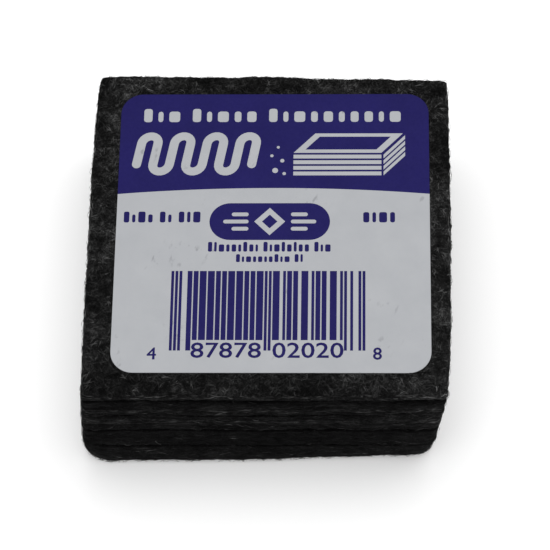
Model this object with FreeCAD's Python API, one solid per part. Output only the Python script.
"""Small square board eraser: felt plies glued into a block, with a square paper label on its back.

Millimetres. The origin is the middle of the block's outline, on the plane that the wiping face rests on.
+Z points up through the label, +Y towards the label's head, and +X to the right of someone who reads it.
From the top the block holds a thin cover felt, three thick plies and the wiping felt, with a glue film
between each two. It was cut a little out of square, so two of its sides slant and its foot sits to -X.
"""

import FreeCAD, Part
import os

# Driving dimensions
SIDE = 50.8                # side of the square block, nominally two inches
COVER_THICKNESS = 1.5      # the cover felt is pressed harder and thinner than the others
PLY_1_THICKNESS = 4.7
PLY_2_THICKNESS = 5.0
PLY_3_THICKNESS = 5.2
WIPING_THICKNESS = 5.9
GLUE_THICKNESS = 0.2
GLUE_INSET = 0.8           # the glue stops this far inside the cut sides
LEAN = 1.8                 # how far the wiping face sits to -X of the back
CLEAN_CORNER = 0.6         # radius of a cleanly cut upright corner
WORN_CORNER = 1.2          # the same on the ply above the wiping felt, which handling has softened
WIPING_CORNER = 3.0        # and on the wiping felt, which is worn round
COVER_RIM = 0.3            # rounding of the cover felt's upper and lower rims
PLY_RIM = 0.5
WIPING_RIM = 1.2           # rounding of the rim that meets the board
LABEL_SIDE = 44.45         # one and three quarter inches
LABEL_CORNER = 3.2
LABEL_TO_RIGHT = 0.5       # from the middle of the back to the middle of the label
LABEL_TO_HEAD = 0.4
LABEL_TURN = 0.4           # degrees that the hand-placed label is turned anticlockwise on the back
PAPER_THICKNESS = 0.12
ADHESIVE_THICKNESS = 0.05
ADHESIVE_INSET = 0.25      # the adhesive stops short of the paper's edge

# The plies from the wiping face up: node, thickness, upright corner, lower rim, upper rim
PLIES = (
    ("wiping_felt", WIPING_THICKNESS, WIPING_CORNER, WIPING_RIM, PLY_RIM),
    ("felt_ply_3", PLY_3_THICKNESS, WORN_CORNER, PLY_RIM, PLY_RIM),
    ("felt_ply_2", PLY_2_THICKNESS, CLEAN_CORNER, PLY_RIM, PLY_RIM),
    ("felt_ply_1", PLY_1_THICKNESS, CLEAN_CORNER, PLY_RIM, PLY_RIM),
    ("cover_felt", COVER_THICKNESS, CLEAN_CORNER, COVER_RIM, COVER_RIM),
)
GLUE_COUNT = len(PLIES) - 1
BLOCK_HEIGHT = sum(thickness for _, thickness, _, _, _ in PLIES) + GLUE_COUNT * GLUE_THICKNESS
SLANT = LEAN / BLOCK_HEIGHT


def block_middle(height):
    """The middle of the block's cross-section at a height."""
    return FreeCAD.Vector(SLANT * height - LEAN / 2, 0, height)


def square_plate(side, corner, middle, thickness):
    """A square plate standing on middle, with rounded upright corners and the block's slant."""
    straight = side / 2 - corner
    bulge = straight + corner * 0.5 ** 0.5
    edges = []
    for quarter in range(4):
        turn = FreeCAD.Rotation(FreeCAD.Vector(0, 0, 1), 90 * quarter)
        run_start = middle + turn.multVec(FreeCAD.Vector(side / 2, -straight, 0))
        run_end = middle + turn.multVec(FreeCAD.Vector(side / 2, straight, 0))
        bend = middle + turn.multVec(FreeCAD.Vector(bulge, bulge, 0))
        next_run = middle + turn.multVec(FreeCAD.Vector(straight, side / 2, 0))
        edges.append(Part.makeLine(run_start, run_end))
        edges.append(Part.Arc(run_end, bend, next_run).toShape())
    outline = Part.Face(Part.Wire(edges))
    return outline.extrude(FreeCAD.Vector(SLANT * thickness, 0, thickness))


def rim(solid, height):
    """The edges of solid that lie in the horizontal plane at a height."""
    in_plane = 1e-6
    return [
        edge for edge in solid.Edges
        if all(abs(vertex.Z - height) < in_plane for vertex in edge.Vertexes)
    ]


def felt_ply(thickness, corner, lower_rim, upper_rim, height):
    """One sheet of felt, its rims rounded over."""
    sheet = square_plate(SIDE, corner, block_middle(height), thickness)
    sheet = sheet.makeFillet(lower_rim, rim(sheet, height))
    return sheet.makeFillet(upper_rim, rim(sheet, height + thickness)).Solids[0]


def felt_block():
    """The plies and the glue films between them, by node name."""
    nodes = {}
    height = 0.0
    for index, (name, thickness, corner, lower_rim, upper_rim) in enumerate(PLIES):
        nodes[name] = felt_ply(thickness, corner, lower_rim, upper_rim, height)
        height += thickness
        if index < GLUE_COUNT:
            side = SIDE - 2 * GLUE_INSET
            film = square_plate(side, corner, block_middle(height), GLUE_THICKNESS)
            nodes[f"glue_film_{GLUE_COUNT - index}"] = film
            height += GLUE_THICKNESS
    return nodes


def label():
    """The paper label and the adhesive under it, by node name."""
    middle = block_middle(BLOCK_HEIGHT) + FreeCAD.Vector(LABEL_TO_RIGHT, LABEL_TO_HEAD, 0)
    adhesive_side = LABEL_SIDE - 2 * ADHESIVE_INSET
    adhesive = square_plate(adhesive_side, LABEL_CORNER - ADHESIVE_INSET, middle, ADHESIVE_THICKNESS)
    middle += FreeCAD.Vector(0, 0, ADHESIVE_THICKNESS)
    paper = square_plate(LABEL_SIDE, LABEL_CORNER, middle, PAPER_THICKNESS)
    for layer in (adhesive, paper):
        layer.rotate(middle, FreeCAD.Vector(0, 0, 1), LABEL_TURN)
    return {"label_adhesive": adhesive, "label_paper": paper}


def main():
    nodes = felt_block()
    nodes.update(label())
    os.makedirs("parts", exist_ok=True)
    for name, solid in nodes.items():
        if not solid.isValid():
            raise ValueError(f"{name} isn't a valid solid")
        solid.exportStep(f"parts/{name}.step")
        print(f"{name}: {solid.Volume:.0f} mm3")


main()
